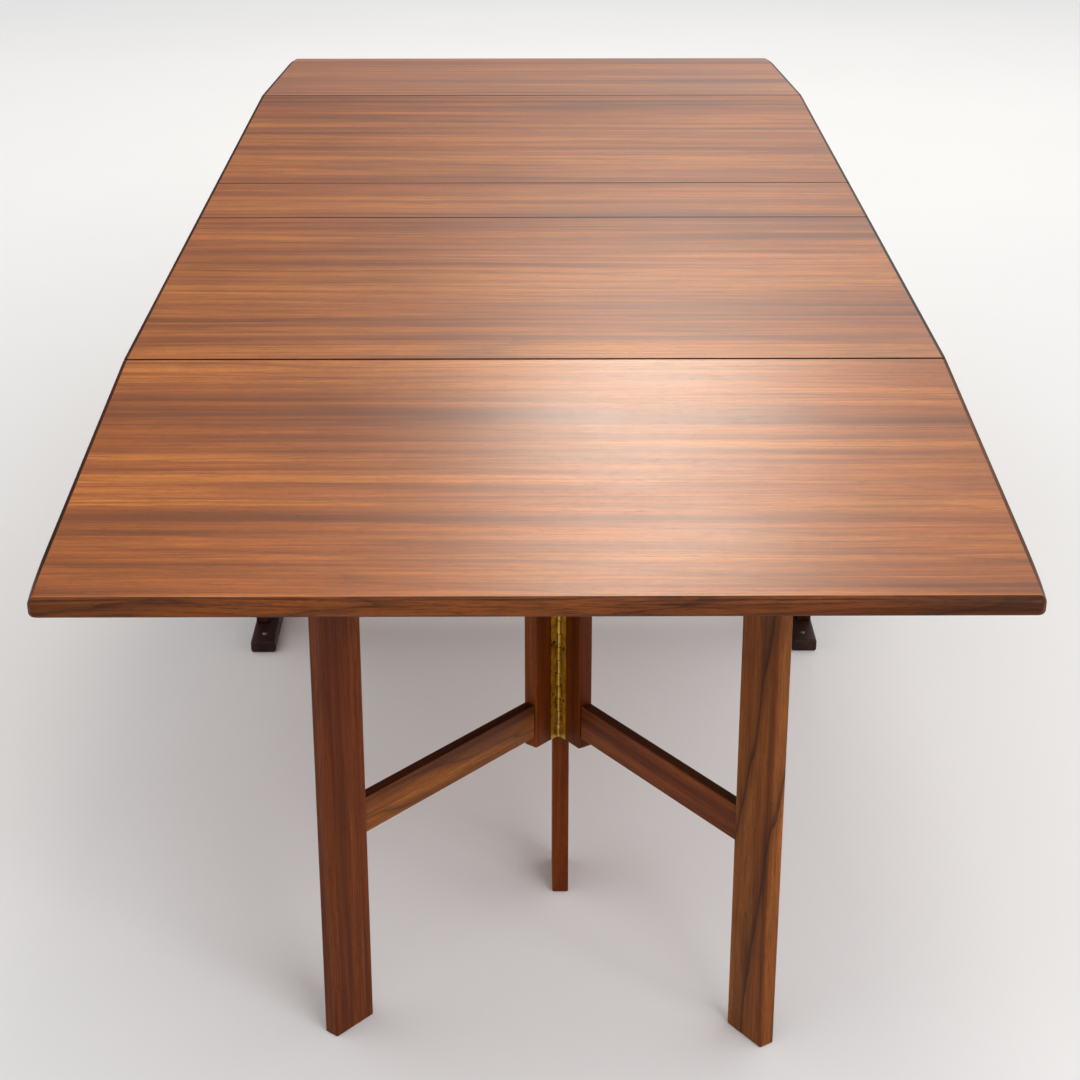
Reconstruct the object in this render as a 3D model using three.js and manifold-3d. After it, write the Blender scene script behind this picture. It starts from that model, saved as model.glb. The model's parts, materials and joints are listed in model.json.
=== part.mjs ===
// Drop leaf table in teak: a narrow trestle carries a centre panel, and two leaves hang on hinges at each long edge.
// Each side is held up by a gate: a two-piece arm, a post, and two framed wings that open like a book under the leaf.
// Millimetres, +Z up. The origin is on the floor under the middle of the top, and +X runs along the centre panel.
import * as THREE from "three";
import { mergeVertices } from "three/addons/utils/BufferGeometryUtils.js";
import Module from "manifold-3d";

// ---- Driving dimensions ----
const TABLE_HEIGHT = 715;
const TABLE_WIDTH = 1004;
const CENTRE_PANEL_DEPTH = 212;
const INNER_LEAF_DEPTH = 672.4;
const OUTER_LEAF_DEPTH = 610;
const PANEL_THICKNESS = 20;
const JOINT_GAP = 0.8; // open space at each hinged joint line
const OUTER_CORNER_RADIUS = 9;
const LEAF_DROOP = 4.4; // degrees that an outer leaf falls to rest on its legs

const FIT = 0.3; // clearance left between touching pieces
const BOARD = 20; // thickness of the gate's arms, stiles and legs

const END_BOARD_X = 455; // outer face of an end board
const END_BOARD_THICKNESS = 22;
const END_BOARD_WIDTH = 100;
const FOOT_OUTER_X = 457;
const FOOT_WIDTH = 40;
const FOOT_LENGTH = 244;
const FOOT_HEIGHT = 20;
const STRETCHER_THICKNESS = 18;

const SHOULDER = { x: 32, y: -22 }; // pivot of a gate's inner arm
const ELBOW_Y = -382; // pivot between the inner and the outer arm
const POST_FRONT_Y = -849;
const POST_BACK_Y = -765;
const POST_WIDTH = 21;
const POST_TOP = 688;
const APEX = { x: 29, y: -858 }; // knuckle axis of the long hinge between the wings
const POST_HINGE = { x: 19, y: -837.3 }; // axis of the hinge between the post and the left wing

const LEFT_WING_ANGLE = -130.1; // degrees from +X, seen from above
const RIGHT_WING_ANGLE = -55.5;
const WING_REACH = 410; // from the knuckle axis to the outer edge of a leg
const LEG_WIDTH = 62;
const LEG_TOP = 659.6;
const STILE_WIDTH = 38;
const STILE_START = 4;
const STILE_BOTTOM = 235;
const STILE_TOP = 655;
const FACE_OFFSET = 1.5; // a wing's inner face stands this far from the knuckle's plane
const RAIL_THICKNESS = 16;
const LOWER_RAIL = { bottom: 250, top: 296 };
const UPPER_RAIL = { bottom: 590, top: 634 };

const INNER_ARM = { bottom: 640, top: 672 };
const OUTER_ARM = { bottom: 600, top: 630 };
const PIN_RADIUS = 4;
const PIN_HOLE_RADIUS = 4.3;

const KNUCKLE_PITCH = 36;
const KNUCKLE_RADIUS = 2.75;
const HINGE_PIN_RADIUS = 1;
const HINGE_PIN_HOLE = 1.35;

const LEAF_HINGE_X = 330; // each joint line has a butt hinge at this distance to both sides
const LEAF_HINGE_LENGTH = 60;
const LEAF_HINGE_REACH = 26;
const LEAF_KNUCKLE_RADIUS = 3;

const UNDERSIDE = TABLE_HEIGHT - PANEL_THICKNESS;
const INNER_JOINT_Y = CENTRE_PANEL_DEPTH / 2 + JOINT_GAP / 2;
const OUTER_JOINT_Y = INNER_JOINT_Y + INNER_LEAF_DEPTH + JOINT_GAP;
const LEAF_AXIS_Z = UNDERSIDE - LEAF_KNUCKLE_RADIUS - 0.5;
const UP = new THREE.Vector3(0, 0, 1);
const radians = THREE.MathUtils.degToRad;

// ---- Materials ----
function finish(color, roughness, metalness) {
  return () => new THREE.MeshStandardMaterial({ color, roughness, metalness });
}
const topTeak = finish(0xa9603a, 0.42, 0);
const frameTeak = finish(0x7c4526, 0.45, 0);
const darkTeak = finish(0x3a2019, 0.5, 0);
const brass = finish(0xb8974a, 0.35, 1);
const steel = finish(0x8c8a86, 0.4, 1);

// ---- Solids ----
const wasm = await Module();
wasm.setup();

// A closed geometry as a solid, with the vertices that touch merged into one.
function solidOf(geometry) {
  const plain = geometry.index ? geometry.toNonIndexed() : geometry.clone();
  plain.deleteAttribute("normal");
  plain.deleteAttribute("uv");
  const merged = mergeVertices(plain, 1e-4);
  return new wasm.Manifold(
    new wasm.Mesh({
      numProp: 3,
      vertProperties: merged.attributes.position.array,
      triVerts: new Uint32Array(merged.index.array),
    }),
  );
}

function geometryOf(solid) {
  const mesh = solid.getMesh();
  const geometry = new THREE.BufferGeometry();
  geometry.setAttribute("position", new THREE.BufferAttribute(mesh.vertProperties, 3));
  geometry.setIndex(new THREE.BufferAttribute(mesh.triVerts, 1));
  geometry.computeVertexNormals();
  return geometry;
}

function joined(geometries) {
  return geometryOf(geometries.map(solidOf).reduce((whole, next) => whole.add(next)));
}

function cut(geometry, tools) {
  return geometryOf(tools.map(solidOf).reduce((left, tool) => left.subtract(tool), solidOf(geometry)));
}

// A box between two corners.
function box([x0, x1], [y0, y1], [z0, z1]) {
  const geometry = new THREE.BoxGeometry(x1 - x0, y1 - y0, z1 - z0);
  return geometry.translate((x0 + x1) / 2, (y0 + y1) / 2, (z0 + z1) / 2);
}

// A round bar that stands on z0.
function upright(radius, x, y, z0, z1, sides = 12) {
  const geometry = new THREE.CylinderGeometry(radius, radius, z1 - z0, sides);
  return geometry.rotateX(Math.PI / 2).translate(x, y, (z0 + z1) / 2);
}

// A round bar along X.
function crosswise(radius, x0, x1, y, z, sides = 10) {
  const geometry = new THREE.CylinderGeometry(radius, radius, x1 - x0, sides);
  return geometry.rotateZ(Math.PI / 2).translate((x0 + x1) / 2, y, z);
}

function piece(name, geometry, material) {
  const mesh = new THREE.Mesh(geometry, material());
  mesh.name = name;
  return mesh;
}

// ---- Top ----
// A panel between two depths, with the corners at its outer end rounded in plan.
function panelGeometry(innerY, outerY, cornerRadius) {
  const half = TABLE_WIDTH / 2;
  const shape = new THREE.Shape();
  shape.moveTo(-half, innerY);
  shape.lineTo(half, innerY);
  if (cornerRadius > 0) {
    shape.lineTo(half, outerY - cornerRadius);
    shape.absarc(half - cornerRadius, outerY - cornerRadius, cornerRadius, 0, Math.PI / 2, false);
    shape.absarc(cornerRadius - half, outerY - cornerRadius, cornerRadius, Math.PI / 2, Math.PI, false);
  } else {
    shape.lineTo(half, outerY);
    shape.lineTo(-half, outerY);
  }
  const geometry = new THREE.ExtrudeGeometry(shape, {
    depth: PANEL_THICKNESS,
    bevelEnabled: false,
    curveSegments: 5,
  });
  return geometry.translate(0, 0, UNDERSIDE);
}

// Half of a butt hinge under a joint line: plateSide is -1 towards the middle and +1 away from it.
function leafHinge(x, jointY, plateSide) {
  const half = LEAF_HINGE_LENGTH / 2;
  const third = LEAF_HINGE_LENGTH / 6;
  const plateTop = UNDERSIDE - FIT;
  const plateInner = jointY + plateSide * 1.2;
  const plateOuter = jointY + plateSide * LEAF_HINGE_REACH;
  const plate = [Math.min(plateInner, plateOuter), Math.max(plateInner, plateOuter)];
  const depth = [plateTop - 2, plateTop];
  const barrel = (x0, x1) => crosswise(LEAF_KNUCKLE_RADIUS, x0, x1, jointY, LEAF_AXIS_Z);
  if (plateSide < 0) {
    return joined([
      cut(box([x - half, x + half], plate, depth), [
        box([x - third - FIT, x + third + FIT], [jointY - 4, jointY + 4], [plateTop - 8, plateTop + 1]),
      ]),
      barrel(x - half, x - third - FIT),
      barrel(x + third + FIT, x + half),
      crosswise(HINGE_PIN_RADIUS, x - half, x + half, jointY, LEAF_AXIS_Z),
    ]);
  }
  const middle = joined([
    cut(box([x - half, x + half], plate, depth), [
      box([x - half - 1, x - third], [jointY - 4, jointY + 4], [plateTop - 8, plateTop + 1]),
      box([x + third, x + half + 1], [jointY - 4, jointY + 4], [plateTop - 8, plateTop + 1]),
    ]),
    barrel(x - third, x + third),
  ]);
  return cut(middle, [crosswise(HINGE_PIN_HOLE, x - half, x + half, jointY, LEAF_AXIS_Z)]);
}

// Both leaves of one side, drawn towards +Y; the outer one turns down about its hinges.
function leaves(side) {
  const group = new THREE.Group();
  const innerEdge = INNER_JOINT_Y + JOINT_GAP / 2;
  const innerEnd = OUTER_JOINT_Y - JOINT_GAP / 2;
  const outerEdge = OUTER_JOINT_Y + JOINT_GAP / 2;
  const drooping = new THREE.Group();
  drooping.position.set(0, OUTER_JOINT_Y, LEAF_AXIS_Z);
  drooping.rotation.x = -radians(LEAF_DROOP);
  const hung = (name, geometry, material) => {
    drooping.add(piece(name, geometry.translate(0, -OUTER_JOINT_Y, -LEAF_AXIS_Z), material));
  };
  group.add(piece(side + "_inner_leaf", panelGeometry(innerEdge, innerEnd, 0), topTeak));
  hung(
    side + "_outer_leaf",
    panelGeometry(outerEdge, outerEdge + OUTER_LEAF_DEPTH, OUTER_CORNER_RADIUS),
    topTeak,
  );
  const turned = side === "near" ? -1 : 1; // the near leaves are turned half round afterwards
  for (const [end, x] of [["left", -turned * LEAF_HINGE_X], ["right", turned * LEAF_HINGE_X]]) {
    const name = side + "_hinge_" + end;
    group.add(piece(name + "_centre_plate", leafHinge(x, INNER_JOINT_Y, -1), brass));
    group.add(piece(name + "_inner_plate", leafHinge(x, INNER_JOINT_Y, 1), brass));
    group.add(piece(name + "_middle_plate", leafHinge(x, OUTER_JOINT_Y, -1), brass));
    hung(name + "_outer_plate", leafHinge(x, OUTER_JOINT_Y, 1), brass);
  }
  group.add(drooping);
  return group;
}

// ---- Trestle ----
function trestle() {
  const group = new THREE.Group();
  const centre = panelGeometry(-CENTRE_PANEL_DEPTH / 2, CENTRE_PANEL_DEPTH / 2, 0);
  group.add(piece("centre_panel", centre, topTeak));
  const boardInner = END_BOARD_X - END_BOARD_THICKNESS;
  const halfWidth = END_BOARD_WIDTH / 2;
  for (const [end, sign] of [["left", -1], ["right", 1]]) {
    const across = (inner, outer) => [Math.min(sign * inner, sign * outer), Math.max(sign * inner, sign * outer)];
    const board = box(
      across(boardInner, END_BOARD_X),
      [-halfWidth, halfWidth],
      [FOOT_HEIGHT + FIT, UNDERSIDE - FIT],
    );
    const foot = box(
      across(FOOT_OUTER_X - FOOT_WIDTH, FOOT_OUTER_X),
      [-FOOT_LENGTH / 2, FOOT_LENGTH / 2],
      [0, FOOT_HEIGHT],
    );
    group.add(piece("end_board_" + end, board, frameTeak));
    group.add(piece("foot_" + end, foot, darkTeak));
  }
  const span = [FIT - boardInner, boardInner - FIT];
  const thick = [-STRETCHER_THICKNESS / 2, STRETCHER_THICKNESS / 2];
  group.add(piece("upper_stretcher", box(span, thick, [600, 674.7]), frameTeak));
  group.add(piece("lower_stretcher", box(span, thick, [60, 120]), frameTeak));
  const pivots = [SHOULDER, { x: -SHOULDER.x, y: -SHOULDER.y }];
  const holes = pivots.map(({ x, y }) => upright(PIN_HOLE_RADIUS, x, y, 670, 700));
  group.add(piece("pivot_board", cut(box([-50, 50], [-40, 40], [675, UNDERSIDE - FIT]), holes), frameTeak));
  for (const [side, { x, y }] of [["near", pivots[0]], ["far", pivots[1]]]) {
    const pin = joined([
      upright(PIN_RADIUS, x, y, 634, 690),
      upright(8, x, y, 634, INNER_ARM.bottom - FIT),
    ]);
    group.add(piece(side + "_shoulder_pin", pin, steel));
  }
  return group;
}

// ---- Gate ----
// An arm along Y with a round end at each pivot, drilled for the pins.
function armGeometry(startY, endY, roundEnd, holesY, level) {
  const x = SHOULDER.x;
  const half = BOARD / 2;
  const shape = new THREE.Shape();
  shape.absarc(x, startY, half, 0, Math.PI, false);
  if (roundEnd) {
    shape.absarc(x, endY, half, Math.PI, 2 * Math.PI, false);
  } else {
    shape.lineTo(x - half, endY);
    shape.lineTo(x + half, endY);
  }
  const geometry = new THREE.ExtrudeGeometry(shape, {
    depth: level.top - level.bottom,
    bevelEnabled: false,
    curveSegments: 8,
  });
  geometry.translate(0, 0, level.bottom);
  return cut(geometry, holesY.map((y) => upright(PIN_HOLE_RADIUS, x, y, level.bottom - 5, level.top + 5)));
}

// One leaf of the long hinge: every second knuckle from the first, and a plate let in beside them.
// faceSide is the side of the knuckle's plane that the wing lies on.
function longHingeLeaf(faceSide, first) {
  const bottom = STILE_BOTTOM + 2;
  const top = STILE_TOP - 2;
  const count = Math.floor((top - bottom) / KNUCKLE_PITCH);
  const plateFaces = [faceSide * FIT, faceSide * (FACE_OFFSET - FIT)];
  const plateSpan = [Math.min(...plateFaces), Math.max(...plateFaces)];
  const bars = [];
  const notches = [];
  for (let i = 0; i < count; i++) {
    const z0 = bottom + i * KNUCKLE_PITCH;
    if (i % 2 === first) {
      bars.push(upright(KNUCKLE_RADIUS, 0, 0, z0 + FIT / 2, z0 + KNUCKLE_PITCH - FIT / 2, 10));
    } else {
      notches.push(box([-1, KNUCKLE_RADIUS + FIT], [-4, 4], [z0 - FIT / 2, z0 + KNUCKLE_PITCH + FIT / 2]));
    }
  }
  const plate = cut(box([0.5, 15], plateSpan, [bottom, bottom + count * KNUCKLE_PITCH]), notches);
  if (first === 0) {
    return joined([plate, ...bars, upright(HINGE_PIN_RADIUS, 0, 0, bottom + 1, top - 3, 8)]);
  }
  return cut(joined([plate, ...bars]), [upright(HINGE_PIN_HOLE, 0, 0, bottom - 5, top + 5, 8)]);
}

// A framed wing drawn along +X from the knuckle's axis; faceSide is +1 where the wood lies towards +Y.
function wing(name, angle, faceSide, firstKnuckle) {
  const group = new THREE.Group();
  group.position.set(APEX.x, APEX.y, 0);
  group.rotation.z = radians(angle);
  const across = (near, far) => [Math.min(faceSide * near, faceSide * far), Math.max(faceSide * near, faceSide * far)];
  const wood = across(FACE_OFFSET, FACE_OFFSET + BOARD);
  const inset = (BOARD - RAIL_THICKNESS) / 2;
  const railWood = across(FACE_OFFSET + inset, FACE_OFFSET + BOARD - inset);
  const stileEnd = STILE_START + STILE_WIDTH;
  const legStart = WING_REACH - LEG_WIDTH;
  const railSpan = [stileEnd + FIT, legStart - FIT];
  group.add(piece(name + "_stile", box([STILE_START, stileEnd], wood, [STILE_BOTTOM, STILE_TOP]), frameTeak));
  group.add(piece(name + "_leg", box([legStart, WING_REACH], wood, [0, LEG_TOP]), frameTeak));
  for (const [level, { bottom, top }] of [["lower", LOWER_RAIL], ["upper", UPPER_RAIL]]) {
    group.add(piece(name + "_" + level + "_rail", box(railSpan, railWood, [bottom, top]), frameTeak));
  }
  group.add(piece(name + "_hinge_leaf", longHingeLeaf(faceSide, firstKnuckle), brass));
  return group;
}

function gate(side) {
  const group = new THREE.Group();
  const { x, y } = SHOULDER;
  const inner = armGeometry(y, ELBOW_Y, true, [y, ELBOW_Y], INNER_ARM);
  group.add(piece(side + "_inner_arm", inner, frameTeak));
  const outer = armGeometry(ELBOW_Y, POST_BACK_Y + FIT, false, [ELBOW_Y], OUTER_ARM);
  group.add(piece(side + "_outer_arm", outer, frameTeak));
  const bolt = joined([
    upright(PIN_RADIUS, x, ELBOW_Y, 594, 677),
    upright(8, x, ELBOW_Y, INNER_ARM.top + FIT, 677),
    upright(9, x, ELBOW_Y, OUTER_ARM.top + FIT, INNER_ARM.bottom - FIT),
    upright(7, x, ELBOW_Y, 594, OUTER_ARM.bottom - FIT, 6),
  ]);
  group.add(piece(side + "_elbow_bolt", bolt, steel));
  const postWood = [x - POST_WIDTH / 2, x + POST_WIDTH / 2];
  group.add(piece(side + "_post", box(postWood, [POST_FRONT_Y, POST_BACK_Y], [0, POST_TOP]), frameTeak));
  const postHinge = joined([
    upright(2.2, POST_HINGE.x, POST_HINGE.y, 300, 600, 12),
    box([POST_HINGE.x + 1, postWood[0] - FIT], [POST_HINGE.y, POST_HINGE.y + 24], [300, 600]),
  ]);
  group.add(piece(side + "_post_hinge", postHinge, brass));
  group.add(wing(side + "_left", LEFT_WING_ANGLE, -1, 0));
  group.add(wing(side + "_right", RIGHT_WING_ANGLE, 1, 1));
  return group;
}

// ---- Assembly: the far half is the near half turned half round ----
const table = new THREE.Group();
table.name = "drop_leaf_table";
table.add(trestle());
const farLeaves = leaves("far");
const nearLeaves = leaves("near");
nearLeaves.rotateOnAxis(UP, Math.PI);
const farGate = gate("far");
farGate.rotateOnAxis(UP, Math.PI);
table.add(farLeaves, nearLeaves, gate("near"), farGate);

export default table;
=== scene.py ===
"""Drop leaf table in teak, drawn over its CAD frame and lit like a studio photograph."""

import json
import math

import bmesh
import bpy
import numpy as np
from mathutils import Matrix, Vector


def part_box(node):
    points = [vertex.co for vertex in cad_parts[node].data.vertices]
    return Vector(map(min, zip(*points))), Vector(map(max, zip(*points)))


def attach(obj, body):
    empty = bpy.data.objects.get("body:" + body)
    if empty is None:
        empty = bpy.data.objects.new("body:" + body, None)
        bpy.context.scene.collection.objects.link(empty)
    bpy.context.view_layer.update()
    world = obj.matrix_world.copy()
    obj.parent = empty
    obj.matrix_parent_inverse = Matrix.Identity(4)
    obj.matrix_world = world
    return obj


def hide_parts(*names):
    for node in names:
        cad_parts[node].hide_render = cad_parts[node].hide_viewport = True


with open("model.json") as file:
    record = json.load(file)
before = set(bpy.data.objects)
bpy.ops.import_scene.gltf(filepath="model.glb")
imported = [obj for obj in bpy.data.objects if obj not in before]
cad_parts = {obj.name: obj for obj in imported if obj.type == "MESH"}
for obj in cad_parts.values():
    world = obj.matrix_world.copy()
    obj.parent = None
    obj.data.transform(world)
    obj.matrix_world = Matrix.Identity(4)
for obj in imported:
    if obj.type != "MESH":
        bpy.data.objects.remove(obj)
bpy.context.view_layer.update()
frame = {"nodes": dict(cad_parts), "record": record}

RECORD = frame["record"]
BODY_OF = {n: body for body, nodes in RECORD["behaviour"]["bodies"].items() for n in nodes}
SLOT_OF = {part["node"]: part["material_slot"] for part in RECORD["subparts"]}
JOINTS = {joint["name"]: joint for joint in RECORD["behaviour"]["joints"]}
UP = Vector((0, 0, 1))
MM = 0.001

PLANK_EDGE = 2.2 * MM  # radius worn onto the long edges of every plank
FOOT_EDGE = 4 * MM
RIM_TOP = 8 * MM  # radius over the outer edge of the top
RIM_BOTTOM = 4 * MM
JOINT_EDGE = 1.4 * MM
END_LIPPING = 8.5 * MM  # width of the solid edging that shows beside the veneer
SIDE_LIPPING = 4 * MM
PANEL_FINISHES = ["veneer", "end_lip", "side_lip", "dark", "joint"]
TOP_FACING = 0.8  # a face looks up, or along an axis, when its normal reaches this far that way
END_FACING = 0.7
MERGE = 1e-6

SHADE_AXIS = (-0.35, 0.9, 0.25)  # towards the unlit corner of the studio
WORLD_STRENGTH = 0.95
SHADE_CONE = 0.8  # cosine of the angle from that axis where the darkening starts
WORLD_GREYS = [(0.1, 1.0), (0.4, 0.8), (0.65, 0.5), (0.95, 0.12)]  # (way towards the axis, brightness)
LIGHTS = (  # name, position, target, size, power in watts and colour
    ("window", (0.5, 5.0, 4.15), (0.15, -1.05, 0.66), (1.0, 0.9), 78, (1.0, 0.87, 0.74)),
    ("front_right", (2.6, -5.0, 3.4), (0, -0.6, 0.2), (3.0, 2.4), 120, (1, 1, 1)),
)

FLOOR_REACH = 60
FLOOR_SIDES = 72

CAMERA_PLACE = (-0.0095, -3.39, 1.577)
CAMERA_PITCH = math.radians(67.1)
CAMERA_YAW = math.radians(-0.339)
CAMERA_LENS = 74.73
SENSOR_WIDTH = 36

GRAIN_SHIFT = (1.37, 0.113, 0.021)  # how far the figure moves on from one board to the next
DEPTH_STEPS = 5  # the depth starts again after this many boards, so that it stays near the rings

KNUCKLE_PITCH = 18 * MM
KNUCKLE_RADIUS = 2.7 * MM
KNUCKLE_GAP = 0.7 * MM
PLATE_START = 4.6 * MM  # a notch is left beside each knuckle of the other half
PLATE_WIDTH = 14.5 * MM
PLATE_THICKNESS = 1.1 * MM
PLATE_FACE = 0.35 * MM  # from the knuckles' plane to the face of a long hinge's plate
SCREW_PITCH = 72 * MM
SCREW_RADIUS = 2.6 * MM
SLOT_SHARE = 0.16  # half the slot's width as a share of the head's radius
HEAD_POINTS = 11  # points round each half of a screw's head
HEAD_RISE = 0.55 * MM
DISC_THICKNESS = 0.3 * MM
PIN_RADIUS = 1.1 * MM
FOOT_SCREW_RADIUS = 4 * MM
FOOT_SCREW_INSET = 30 * MM


# ---- Nodes for materials ----
def add(tree, kind, inputs=None, **settings):
    """A node with its settings, and each input either linked to a socket or set to a value."""
    made = tree.nodes.new(kind)
    for key, value in settings.items():
        setattr(made, key, value)
    for key, value in (inputs or {}).items():
        if isinstance(value, bpy.types.NodeSocket):
            tree.links.new(value, made.inputs[key])
        else:
            made.inputs[key].default_value = value
    return made


def new_material(name):
    material = bpy.data.materials.new(name)
    material.use_nodes = True
    tree = material.node_tree
    shader = tree.nodes["Principled BSDF"]
    return material, tree, shader


def ramp(tree, factor, stops):
    """A colour ramp through (position, colour) stops."""
    made = add(tree, "ShaderNodeValToRGB", {"Fac": factor})
    elements = made.color_ramp.elements
    while len(elements) < len(stops):
        elements.new(0.5)
    for element, (position, colour) in zip(elements, stops):
        element.position = position
        element.color = (*colour, 1)
    return made.outputs["Color"]


def grey(value):
    return (value, value, value)


def noise(tree, vector, scale, detail=3.0, roughness=0.55):
    """Noise over coordinates stretched by scale along each axis."""
    stretched = add(tree, "ShaderNodeMapping", {"Vector": vector, "Scale": scale})
    return add(
        tree,
        "ShaderNodeTexNoise",
        {
            "Vector": stretched.outputs["Vector"],
            "Scale": 1.0,
            "Detail": detail,
            "Roughness": roughness,
        },
    )


def mixed(tree, factor, a, b, blend="MIX"):
    """Colours a and b mixed by factor; each may be a socket or a plain colour."""
    made = tree.nodes.new("ShaderNodeMix")
    made.data_type = "RGBA"
    made.blend_type = blend
    for index, value in ((0, factor), (6, a), (7, b)):
        if isinstance(value, bpy.types.NodeSocket):
            tree.links.new(value, made.inputs[index])
        elif index == 0:
            made.inputs[index].default_value = value
        else:
            made.inputs[index].default_value = (*value, 1)
    return made.outputs[2]


def ranged(tree, value, low, high):
    """A 0 to 1 value moved into the range low to high."""
    made = add(tree, "ShaderNodeMapRange", {"Value": value, "To Min": low, "To Max": high})
    return made.outputs["Result"]


# ---- Wood ----
def grain_coordinates(tree, turned):
    """The piece's own coordinates: x along the grain, y across it and z into the board."""
    grain = add(tree, "ShaderNodeAttribute", attribute_name="grain").outputs["Vector"]
    if not turned:
        return grain
    quarter = add(tree, "ShaderNodeMapping", {"Vector": grain, "Rotation": (0, 0, math.pi / 2)})
    return quarter.outputs["Vector"]


def flames(tree, vector, ring_scale, tilt, depth):
    """How much latewood shows where a board's face cuts the growth rings, as thin uneven lines."""
    cut = add(
        tree,
        "ShaderNodeMapping",
        {
            "Vector": vector,
            "Location": (0, 0, depth),
            "Rotation": (0, tilt, 0.3 * tilt),
            "Scale": (0.13, 1, 1),
        },
    )
    rings = add(
        tree,
        "ShaderNodeTexWave",
        {
            "Vector": cut.outputs["Vector"],
            "Scale": ring_scale,
            "Distortion": 4.5,
            "Detail": 3.0,
            "Detail Scale": 1.6,
            "Detail Roughness": 0.55,
        },
        wave_type="RINGS",
        rings_direction="X",
        wave_profile="SAW",
    )
    stops = [(0.0, grey(1)), (0.10, grey(0.45)), (0.35, grey(0.08)), (0.8, grey(0)), (1.0, grey(0.5))]
    return ramp(tree, rings.outputs["Fac"], stops)


def wood(
    name,
    tones,
    figure,
    ring_scale=14.0,
    streak=0.5,
    rough=(0.34, 0.5),
    turned=False,
    tilt=0.6,
    depth=0.04,
    gloss=0.2,
    width=1.0,
):
    """Teak with colour bands, growth rings, long streaks and open pores.

    tones runs from the darkest latewood to the lightest earlywood, figure is how strongly the rings
    show, and width stretches the bands and streaks across the board.
    """
    material, tree, shader = new_material(name)
    grain = grain_coordinates(tree, turned)
    waves = noise(tree, grain, (1.5, 6, 6), detail=2)
    warped = add(
        tree,
        "ShaderNodeVectorMath",
        {0: waves.outputs["Color"], 1: (0, 0.022, 0.022), 2: grain},
        operation="MULTIPLY_ADD",
    ).outputs["Vector"]
    bands = noise(tree, warped, (0.45, 9 / width, 9), detail=2).outputs["Fac"]
    broad = noise(tree, warped, (0.9, 38 / width, 38), detail=4, roughness=0.62).outputs["Fac"]
    lines = noise(tree, warped, (2.4, 190 / width, 190), detail=4, roughness=0.7).outputs["Fac"]
    fine = noise(tree, warped, (18, 560, 560), detail=3, roughness=0.75).outputs["Fac"]
    pore = noise(tree, warped, (75, 2100, 2100), detail=1).outputs["Fac"]
    patina = noise(tree, grain, (3, 5, 5), detail=4, roughness=0.6).outputs["Fac"]
    dark, middle, light = tones
    base = ramp(tree, mixed(tree, 0.55, bands, broad), [(0.39, dark), (0.49, middle), (0.59, light)])
    rings = flames(tree, warped, ring_scale, tilt, depth)
    ringed = mixed(tree, ranged(tree, rings, 0, figure), base, tuple(0.5 * c for c in dark))
    streaked = mixed(tree, ramp(tree, lines, [(0.36, grey(streak)), (0.5, grey(0))]), ringed, dark)
    fibres = mixed(tree, ramp(tree, fine, [(0.36, grey(0.55)), (0.54, grey(0))]), streaked, dark)
    open_pores = ramp(tree, pore, [(0.30, grey(0.6)), (0.40, grey(0))])
    pitted = mixed(tree, open_pores, fibres, tuple(0.35 * c for c in dark))
    wear = ramp(tree, patina, [(0.3, grey(0.36)), (0.7, grey(0.64))])
    tree.links.new(mixed(tree, 0.6, pitted, wear, "OVERLAY"), shader.inputs["Base Color"])
    tree.links.new(ranged(tree, patina, *rough), shader.inputs["Roughness"])
    shader.inputs["IOR"].default_value = 1.45
    shader.inputs["Specular IOR Level"].default_value = gloss
    fibre_relief = mixed(tree, 0.5, fine, lines)
    relief = mixed(tree, 0.15, fibre_relief, ramp(tree, pore, [(0.30, grey(0)), (0.42, grey(1))]))
    bump = add(tree, "ShaderNodeBump", {"Height": relief, "Strength": 0.2, "Distance": 0.0006})
    tree.links.new(bump.outputs["Normal"], shader.inputs["Normal"])
    return material


TOP_TONES = ((0.185, 0.050, 0.011), (0.390, 0.106, 0.017), (0.545, 0.176, 0.028))
# the solid edging's own darker teak, darkened further with painted shade for edges that face away from
# the lights
LIP_AND_SHADE_TONES = ((0.018, 0.004, 0.001), (0.080, 0.018, 0.003), (0.170, 0.045, 0.008))
DARK_TONES = ((0.062, 0.012, 0.002), (0.150, 0.033, 0.005), (0.215, 0.054, 0.009))
WARM_TONES = ((0.060, 0.015, 0.003), (0.205, 0.056, 0.008), (0.300, 0.094, 0.014))
RED_TONES = ((0.065, 0.010, 0.001), (0.140, 0.028, 0.002), (0.200, 0.048, 0.005))
SHADE_TONES = ((0.016, 0.004, 0.001), (0.045, 0.011, 0.003), (0.070, 0.019, 0.005))
FOOT_TONES = ((0.012, 0.004, 0.003), (0.027, 0.009, 0.006), (0.045, 0.017, 0.011))


# ---- Metal and floor ----
def metal(name, clean, tarnish, rough):
    """Metal that has dulled in patches and been handled into fine scratches."""
    material, tree, shader = new_material(name)
    place = add(tree, "ShaderNodeTexCoord").outputs["Object"]
    patches = noise(tree, place, (60, 60, 60), detail=5, roughness=0.65).outputs["Fac"]
    scratches = noise(tree, place, (900, 900, 60), detail=2).outputs["Fac"]
    colour = ramp(tree, patches, [(0.35, tarnish), (0.62, clean)])
    tree.links.new(colour, shader.inputs["Base Color"])
    tree.links.new(ranged(tree, patches, *rough), shader.inputs["Roughness"])
    shader.inputs["Metallic"].default_value = 1.0
    bump = add(tree, "ShaderNodeBump", {"Height": scratches, "Strength": 0.15, "Distance": 0.0002})
    tree.links.new(bump.outputs["Normal"], shader.inputs["Normal"])
    return material


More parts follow.
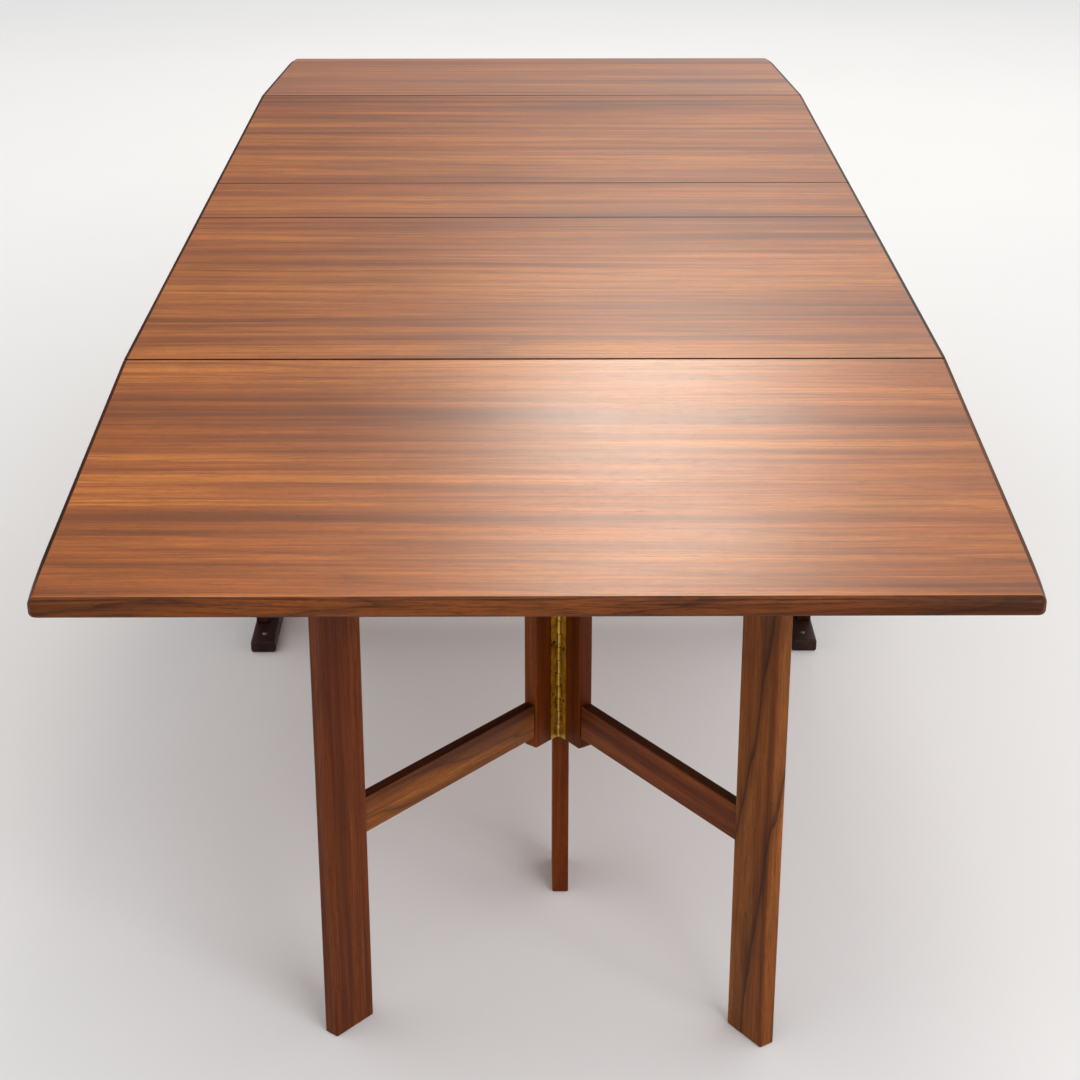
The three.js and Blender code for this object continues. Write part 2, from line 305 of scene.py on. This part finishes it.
def floor_material():
    """Painted studio floor with faint clouds and a slightly rough skin."""
    material, tree, shader = new_material("studio_floor")
    place = add(tree, "ShaderNodeTexCoord").outputs["Object"]
    clouds = noise(tree, place, (0.8, 0.8, 0.8), detail=3).outputs["Fac"]
    colour = ramp(tree, clouds, [(0.3, (0.778, 0.784, 0.788)), (0.7, (0.803, 0.809, 0.813))])
    tree.links.new(colour, shader.inputs["Base Color"])
    shader.inputs["Roughness"].default_value = 0.75
    skin = noise(tree, place, (14, 14, 14), detail=6, roughness=0.6).outputs["Fac"]
    bump = add(tree, "ShaderNodeBump", {"Height": skin, "Strength": 0.12, "Distance": 0.004})
    tree.links.new(bump.outputs["Normal"], shader.inputs["Normal"])
    return material


MATERIALS = {
    "veneer": wood(
        "teak_veneer",
        TOP_TONES,
        figure=0.45,
        ring_scale=9,
        streak=0.7,
        gloss=0.36,
        width=0.8,
        rough=(0.27, 0.38),
    ),
    "end_lip": wood("teak_end_lipping_and_shade", LIP_AND_SHADE_TONES, figure=0.6, streak=0.7, gloss=0.16),
    "side_lip": wood("teak_side_lipping_and_shade", LIP_AND_SHADE_TONES, figure=0.6, streak=0.7, turned=True, gloss=0.16),
    "dark": wood("teak_dark", DARK_TONES, figure=0.35, streak=0.65, gloss=0.14),
    "warm": wood(
        "teak_warm",
        WARM_TONES,
        figure=1.0,
        streak=0.45,
        depth=0.03,
        ring_scale=9,
        tilt=0.9,
        gloss=0.14,
    ),
    "red": wood("teak_red", RED_TONES, figure=0.35, streak=0.5, gloss=0.12),
    "rail": wood("teak_rail", WARM_TONES, figure=0.7, streak=0.5, depth=0.015, tilt=0.9),
    # very dark tones: the end boards' own colour, and painted shade on the lower rails' upper faces
    "shade": wood("teak_shade", SHADE_TONES, figure=0.3, streak=0.5, gloss=0.12),
    "foot": wood("teak_foot", FOOT_TONES, figure=0.2, streak=0.4, rough=(0.4, 0.58)),
    "joint": wood("teak_joint", FOOT_TONES, figure=0.2, streak=0.4, rough=(0.5, 0.7), gloss=0.1),
    "brass": metal("brass", (0.62, 0.40, 0.085), (0.33, 0.19, 0.03), (0.2, 0.38)),
    "screw": metal("screw_brass", (0.16, 0.09, 0.02), (0.05, 0.028, 0.008), (0.35, 0.6)),
    "steel": metal("steel", (0.46, 0.45, 0.44), (0.23, 0.22, 0.21), (0.28, 0.5)),
}


# ---- Pieces ----
def unplaced(name, bm, materials):
    """The finished mesh as an object in the table's own frame."""
    bm.normal_update()
    mesh = bpy.data.meshes.new(name)
    bm.to_mesh(mesh)
    bm.free()
    for material in materials:
        mesh.materials.append(MATERIALS[material])
    piece = bpy.data.objects.new(name, mesh)
    bpy.context.collection.objects.link(piece)
    return piece


def placed(name, bm, materials, node):
    """A piece that stands for its CAD node and moves with that node's body."""
    piece = unplaced(name, bm, materials)
    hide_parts(node)
    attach(piece, BODY_OF[node])
    return piece


def smooth(piece):
    """Smooth shading that keeps wide faces flat."""
    for polygon in piece.data.polygons:
        polygon.use_smooth = True
    weighted = piece.modifiers.new("even_normals", "WEIGHTED_NORMAL")
    weighted.weight = 100
    weighted.keep_sharp = True


def outline(node):
    """The CAD node's shape with the triangles of each flat face joined."""
    bm = bmesh.new()
    bm.from_mesh(frame["nodes"][node].data)
    bmesh.ops.remove_doubles(bm, verts=bm.verts, dist=MERGE)
    bmesh.ops.dissolve_limit(
        bm, angle_limit=math.radians(0.5), verts=bm.verts, edges=bm.edges, use_dissolve_boundaries=False
    )
    return bm


def own_axes(bm):
    """Centre and axes of a board, from its longest to its shortest side."""
    points = np.array([v.co for v in bm.verts])
    centre = (points.max(0) + points.min(0)) / 2
    axes = np.linalg.svd(points - points.mean(0), full_matrices=False)[2]
    extents = [np.ptp((points - centre) @ axis) for axis in axes]
    order = sorted(range(3), key=lambda i: -extents[i])
    return centre, np.array([axes[i] * (1 if axes[i].sum() > 0 else -1) for i in order])


def mark_grain(piece, centre, axes, seed):
    """Stores every point's place in the board's own axes, moved on so that no two boards match."""
    points = np.array([v.co for v in piece.data.vertices])
    local = (points - centre) @ axes.T
    along, across, depth = GRAIN_SHIFT
    local += np.array((along * seed, across * seed, depth * (seed % DEPTH_STEPS)))
    attribute = piece.data.attributes.new("grain", "FLOAT_VECTOR", "POINT")
    attribute.data.foreach_set("vector", local.astype(np.float32).ravel())


def sharp_edges(bm, smallest=30):
    limit = math.radians(smallest)
    return [e for e in bm.edges if len(e.link_faces) == 2 and e.calc_face_angle(0) > limit]


def rounded(bm, edges, radius, segments):
    bmesh.ops.bevel(
        bm,
        geom=list(edges),
        offset=radius,
        offset_type="OFFSET",
        segments=segments,
        profile=0.5,
        affect="EDGES",
        clamp_overlap=True,
    )


def plank(node, material, seed, radius=PLANK_EDGE, top=None):
    """A board with softly rounded edges; top names a second material that paints shade onto the faces
    that look up.
    """
    bm = outline(node)
    centre, axes = own_axes(bm)
    rounded(bm, sharp_edges(bm), radius, 3)
    bm.normal_update()
    # faces that look up take the second material, which paints shade onto them
    for face in bm.faces:
        face.material_index = 1 if top and face.normal.z > TOP_FACING else 0
    piece = placed(node + "_wood", bm, [material, top] if top else [material], node)
    mark_grain(piece, centre, axes, seed)
    smooth(piece)


class Slab:
    """A panel's own frame: x along its joints, y across them and z up."""

    def __init__(self, bm, open_sides):
        self.centre, self.axes = own_axes(bm)
        for index in (1, 2):
            if self.axes[index][index] < 0:
                self.axes[index] *= -1
        self.open_sides = open_sides
        self.joint_sides = [side for side in (-1, 1) if side not in open_sides]
        places = [self.local(v.co) for v in bm.verts]
        self.half = [np.ptp([place[i] for place in places]) / 2 for i in range(3)]

    def local(self, point):
        return [(point - Vector(self.centre)) @ Vector(axis) for axis in self.axes]

    def is_joint(self, edge):
        """Whether an edge runs along a side that meets a neighbour."""
        ends = [self.local(v.co)[1] for v in edge.verts]
        return any(all(side * y > self.half[1] - MM / 2 for y in ends) for side in self.joint_sides)

    def level(self, edge):
        """1 for an edge of the upper face, -1 for one of the lower face, 0 for an upright one."""
        ends = [self.local(v.co)[2] for v in edge.verts]
        if abs(ends[0] - ends[1]) > MM:
            return 0
        return 1 if ends[0] > 0 else -1


def round_slab(bm, slab):
    """Rounds the rim over and takes the sharpness off the joints' upper edges."""
    rim = {e for e in bm.edges if slab.level(e) and not slab.is_joint(e)}
    joint_top = [e for e in bm.edges if slab.level(e) > 0 and slab.is_joint(e)]
    rounded(bm, joint_top, JOINT_EDGE, 2)
    rim_top = [e for e in bm.edges if e in rim and slab.level(e) > 0]
    rounded(bm, rim_top, RIM_TOP, 6)
    rim_bottom = [e for e in sharp_edges(bm, 60) if slab.level(e) < 0 and not slab.is_joint(e)]
    rounded(bm, rim_bottom, RIM_BOTTOM, 4)


def lipping_cuts(bm, slab):
    """Edge loops where the veneer meets the solid lipping."""
    cuts = [(slab.axes[0], side * (slab.half[0] - SIDE_LIPPING)) for side in (-1, 1)]
    cuts += [(slab.axes[1], side * (slab.half[1] - END_LIPPING)) for side in slab.open_sides]
    for axis, distance in cuts:
        geometry = list(bm.verts) + list(bm.edges) + list(bm.faces)
        bmesh.ops.bisect_plane(
            bm, geom=geometry, plane_co=Vector(slab.centre + axis * distance), plane_no=Vector(axis)
        )


def panel_finish(face, slab):
    """The finish that a panel's face has; the side lipping shows its end grain, in dark, at its ends."""
    x, y, _ = slab.local(face.calc_center_median())
    if any(side * y > slab.half[1] - JOINT_EDGE for side in slab.joint_sides):
        return "joint"
    if abs(x) > slab.half[0] - SIDE_LIPPING:
        return "dark" if abs(face.normal @ Vector(slab.axes[1])) > END_FACING else "side_lip"
    # the edging at the open ends takes the lipping tones, which carry painted shade
    is_end = any(side * y > slab.half[1] - END_LIPPING for side in slab.open_sides)
    return "end_lip" if is_end else "veneer"


def panel(node, open_sides, seed):
    """A veneered panel; open_sides are the ends of its depth, -1 or 1, that no neighbour meets."""
    bm = outline(node)
    slab = Slab(bm, open_sides)
    round_slab(bm, slab)
    lipping_cuts(bm, slab)
    bm.normal_update()
    for face in bm.faces:
        face.material_index = PANEL_FINISHES.index(panel_finish(face, slab))
    piece = placed(node + "_wood", bm, PANEL_FINISHES, node)
    mark_grain(piece, slab.centre, slab.axes, seed)
    smooth(piece)


# ---- Brass ----
def bar(bm, start, end, radius, sides=20):
    """A round bar between two points."""
    along = end - start
    turn = UP.rotation_difference(along.normalized()).to_matrix().to_4x4()
    place = Matrix.Translation((start + end) / 2) @ turn
    bmesh.ops.create_cone(
        bm,
        cap_ends=True,
        segments=sides,
        radius1=radius,
        radius2=radius,
        depth=along.length,
        matrix=place,
    )


def block(bm, low, high):
    """A box between two corners in the mesh's own axes."""
    size = high - low
    place = Matrix.Translation((low + high) / 2) @ Matrix.Diagonal((*size, 1))
    bmesh.ops.create_cube(bm, size=1, matrix=place)


def screw(bm, centre, normal, radius, slot_angle):
    """A slotted countersunk head: a low rim disc with two half rounds that leave the slot open."""
    base = Matrix.Translation(centre) @ UP.rotation_difference(normal).to_matrix().to_4x4()
    base = base @ Matrix.Rotation(slot_angle, 4, "Z")
    bmesh.ops.create_cone(
        bm,
        cap_ends=True,
        segments=20,
        radius1=radius,
        radius2=radius * 0.96,
        depth=DISC_THICKNESS,
        matrix=base,
    )
    slot = radius * SLOT_SHARE
    start = math.asin(slot / radius)
    arc = [start + (math.pi - 2 * start) * i / (HEAD_POINTS - 1) for i in range(HEAD_POINTS)]
    for side in (-1, 1):
        half_round(bm, base, side, radius, slot, arc)


def half_round(bm, base, side, radius, slot, arc):
    """The raised half of a screw's head on one side of its slot."""
    rim = [(radius * 0.9 * math.cos(a), side * radius * 0.9 * math.sin(a)) for a in arc]
    inner = [(x * 0.86, y * 0.86 + side * slot * 0.14) for x, y in rim]
    low = [bm.verts.new(base @ Vector((x, y, 0.1 * MM))) for x, y in rim]
    high = [bm.verts.new(base @ Vector((x, y, HEAD_RISE))) for x, y in inner]
    bm.faces.new(high if side > 0 else high[::-1])
    for i in range(len(arc)):
        j = (i + 1) % len(arc)
        quad = [low[i], low[j], high[j], high[i]]
        bm.faces.new(quad if side > 0 else quad[::-1])


def wing_matrix(wing):
    """From a wing's own axes, +X away from the knuckles and Y through the wood, to the table's."""
    apex = Vector(JOINTS[wing.rsplit("_", 1)[0] + "_right_wing_fold"]["pos_m"])
    low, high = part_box(wing + "_leg")
    leg = Vector(((low.x + high.x) / 2, (low.y + high.y) / 2, 0))
    rail_low, rail_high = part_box(wing + "_lower_rail")
    rail = Vector(((rail_low.x + rail_high.x) / 2, (rail_low.y + rail_high.y) / 2, 0))
    away = (leg - rail).normalized()
    angle = math.atan2(away.y, away.x)
    return Matrix.Translation((apex.x, apex.y, 0)) @ Matrix.Rotation(angle, 4, "Z")


def long_hinge(wing, face_side, first):
    """Half of the piano hinge: a narrow plate, every second knuckle, and slotted screws."""
    node = wing + "_hinge_leaf"
    low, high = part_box(node)
    bm = bmesh.new()
    near, far = sorted((face_side * PLATE_FACE, face_side * (PLATE_FACE + PLATE_THICKNESS)))
    block(bm, Vector((PLATE_START, near, low.z)), Vector((PLATE_WIDTH, far, high.z)))
    count = int((high.z - low.z) / KNUCKLE_PITCH)
    for i in range(first, count, 2):
        bottom = low.z + i * KNUCKLE_PITCH
        top = bottom + KNUCKLE_PITCH - KNUCKLE_GAP
        bar(bm, Vector((0, 0, bottom)), Vector((0, 0, top)), KNUCKLE_RADIUS)
        block(bm, Vector((KNUCKLE_RADIUS * 0.6, near, bottom)), Vector((PLATE_START + MM / 5, far, top)))
    if first == 0:
        bar(bm, Vector((0, 0, low.z + MM)), Vector((0, 0, high.z - MM)), PIN_RADIUS, 12)
    brass_faces = len(bm.faces)
    heads = int((high.z - low.z) / SCREW_PITCH)
    spare = (high.z - low.z - (heads - 1) * SCREW_PITCH) / 2
    for i in range(heads):
        place = Vector((PLATE_WIDTH * 0.68, face_side * PLATE_FACE, low.z + spare + i * SCREW_PITCH))
        screw(bm, place, Vector((0, -face_side, 0)), SCREW_RADIUS, 0.5 + 1.7 * i)
    for index, face in enumerate(bm.faces):
        face.material_index = 1 if index >= brass_faces else 0
    bmesh.ops.transform(bm, matrix=wing_matrix(wing), verts=bm.verts)
    smooth_round(placed(node + "_metal", bm, ["brass", "screw"], node))


def foot_screws(foot):
    """The screw that shows on top of a foot near each of its ends."""
    low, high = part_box(foot)
    bm = bmesh.new()
    for index, y in enumerate((low.y + FOOT_SCREW_INSET, high.y - FOOT_SCREW_INSET)):
        place = Vector(((low.x + high.x) / 2, y, high.z))
        screw(bm, place, UP, FOOT_SCREW_RADIUS, 0.4 + index)
    piece = unplaced(foot + "_screws", bm, ["steel"])
    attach(piece, BODY_OF[foot])
    smooth_round(piece)


def smooth_round(piece, limit=35):
    """Smooth shading across shallow edges only."""
    for polygon in piece.data.polygons:
        polygon.use_smooth = True
    piece.data.set_sharp_from_angle(angle=math.radians(limit))


# ---- The table ----
def build_top():
    panel("centre_panel", (), 1)
    for index, side in enumerate(("near", "far")):
        outward = -1 if side == "near" else 1
        panel(side + "_inner_leaf", (), 2 + 2 * index)
        panel(side + "_outer_leaf", (outward,), 3 + 2 * index)


def build_trestle():
    for index, end in enumerate(("left", "right")):
        plank("end_board_" + end, "shade", 11 + index)
        plank("foot_" + end, "foot", 13 + index, FOOT_EDGE)
        foot_screws("foot_" + end)
    plank("upper_stretcher", "dark", 15)
    plank("lower_stretcher", "dark", 16)
    plank("pivot_board", "dark", 17, MM)


def build_gate(side, seed):
    plank(side + "_inner_arm", "dark", seed, MM)
    plank(side + "_outer_arm", "dark", seed + 1, MM)
    plank(side + "_post", "red", seed + 2)
    for index, (wing, leg) in enumerate((("left", "dark"), ("right", "warm"))):
        name = side + "_" + wing
        base = seed + 3 + 4 * index
        plank(name + "_stile", "red", base)
        plank(name + "_leg", leg, base + 1)
        # the lower rails' upper faces get painted shade in the very dark tones, as if shadowed by the top
        # above
        plank(name + "_lower_rail", "rail" if wing == "left" else "dark", base + 2, top="shade")
        plank(name + "_upper_rail", "dark", base + 3)
        long_hinge(name, -1 if wing == "left" else 1, index)


def dress_metal():
    """Metal nodes that keep their CAD shape take a worn finish."""
    for node, slot in SLOT_OF.items():
        if slot not in ("brass", "steel") or frame["nodes"][node].hide_render:
            continue
        mesh = frame["nodes"][node]
        if not mesh.material_slots:
            mesh.data.materials.append(MATERIALS[slot])
        mesh.material_slots[0].material = MATERIALS[slot]


# ---- Studio ----
def build_floor():
    """A floor wide enough that its edge lies at the horizon."""
    mesh = bpy.data.meshes.new("floor")
    turns = [math.tau * i / FLOOR_SIDES for i in range(FLOOR_SIDES)]
    rim = [(FLOOR_REACH * math.cos(t), FLOOR_REACH * math.sin(t), 0) for t in turns]
    mesh.from_pydata(rim, [], [tuple(range(FLOOR_SIDES))])
    floor = bpy.data.objects.new("floor", mesh)
    bpy.context.collection.objects.link(floor)
    mesh.materials.append(floor_material())


def area_light(name, position, target, size, power, colour):
    light = bpy.data.lights.new(name, "AREA")
    light.shape = "RECTANGLE"
    light.size, light.size_y = size
    light.energy = power
    light.color = colour
    lamp = bpy.data.objects.new(name, light)
    bpy.context.collection.objects.link(lamp)
    lamp.location = position
    lamp.rotation_euler = (Vector(target) - Vector(position)).to_track_quat("-Z", "Y").to_euler()


def build_world():
    """A pale studio on all sides but for one unlit corner low behind the table."""
    world = bpy.data.worlds.new("studio")
    bpy.context.scene.world = world
    world.use_nodes = True
    tree = world.node_tree
    direction = add(tree, "ShaderNodeTexCoord").outputs["Generated"]
    axis = Vector(SHADE_AXIS).normalized()
    facing = add(tree, "ShaderNodeVectorMath", {0: direction, 1: axis}, operation="DOT_PRODUCT")
    shifted = add(
        tree,
        "ShaderNodeMapRange",
        {"Value": facing.outputs["Value"], "From Min": SHADE_CONE, "From Max": 1.0},
    )
    colour = ramp(tree, shifted.outputs["Result"], [(place, grey(level)) for place, level in WORLD_GREYS])
    background = tree.nodes["Background"]
    tree.links.new(colour, background.inputs["Color"])
    background.inputs["Strength"].default_value = WORLD_STRENGTH


def build_lights():
    for light in LIGHTS:
        area_light(*light)


def build_camera():
    camera = bpy.data.cameras.new("camera")
    camera.sensor_width = SENSOR_WIDTH
    camera.lens = CAMERA_LENS
    view = bpy.data.objects.new("camera", camera)
    bpy.context.collection.objects.link(view)
    view.location = CAMERA_PLACE
    view.rotation_euler = (CAMERA_PITCH, 0, CAMERA_YAW)
    bpy.context.scene.camera = view


build_top()
build_trestle()
build_gate("near", 20)
build_gate("far", 40)
dress_metal()
build_floor()
build_world()
build_lights()
build_camera()
bpy.context.scene.view_settings.view_transform = "Standard"
